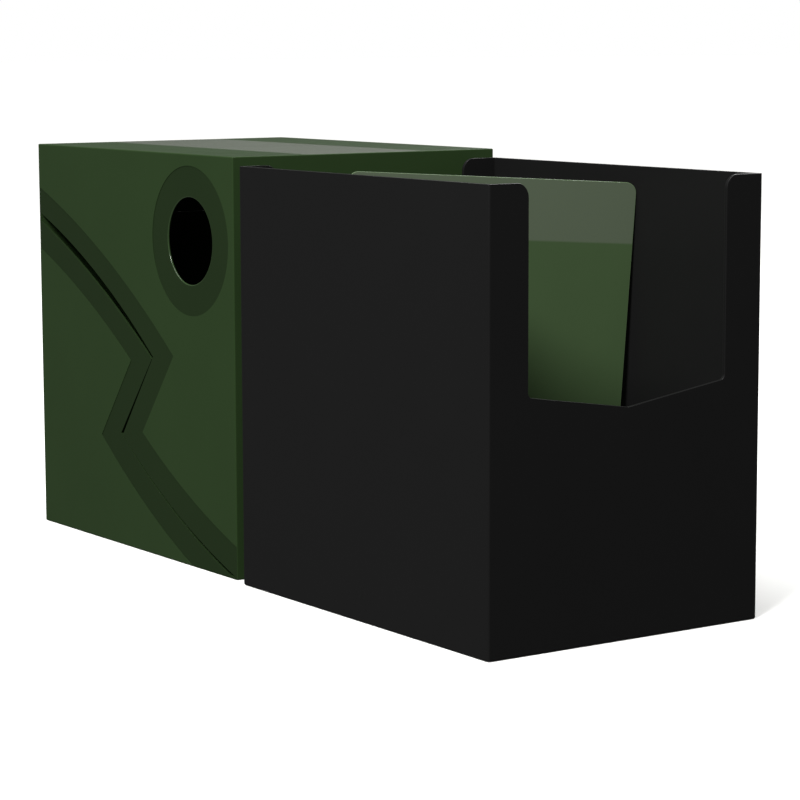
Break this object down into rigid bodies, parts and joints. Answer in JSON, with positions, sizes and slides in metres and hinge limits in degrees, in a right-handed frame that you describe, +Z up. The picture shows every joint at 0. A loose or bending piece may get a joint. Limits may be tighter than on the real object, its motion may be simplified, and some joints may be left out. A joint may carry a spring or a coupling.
{
  "type": "card deck box",
  "caption": "Open-topped card tray with grip notches, a loose divider, and the two-shell case that closes round the tray along a zigzag seam; the tray stands beside the closed case.",
  "frame": {"origin": "under the middle of the whole row's bounding box, on the surface that the tray and the case stand on", "axes": "+X along the row from the case towards the tray, +Y across the box, +Z up"},
  "size_m": [0.2012, 0.0768, 0.1],
  "materials": {
    "case_green": "smooth dark green polypropylene with a soft gloss",
    "tray_black": "smooth black polypropylene with a soft gloss",
    "divider_green": "satin dark green polypropylene sheet"
  },
  "bodies": {
    "tray_body": {"tray": "tray_black"},
    "upper_shell_body": {"upper_shell": "case_green"},
    "lower_shell_body": {"lower_shell": "case_green"},
    "divider_body": {"divider": "divider_green"}
  },
  "joints": [
    {"name": "case_lift", "type": "slide", "parent": "tray_body", "child": "upper_shell_body", "axis": [0, 0, 1], "range_m": [0, 0.11]},
    {"name": "shell_slide", "type": "slide", "parent": "upper_shell_body", "child": "lower_shell_body", "axis": [-1, 0, 0], "range_m": [0, 0.1]},
    {"name": "divider_lift", "type": "slide", "parent": "tray_body", "child": "divider_body", "axis": [0, 0, 1], "range_m": [0, 0.1]}
  ]
}
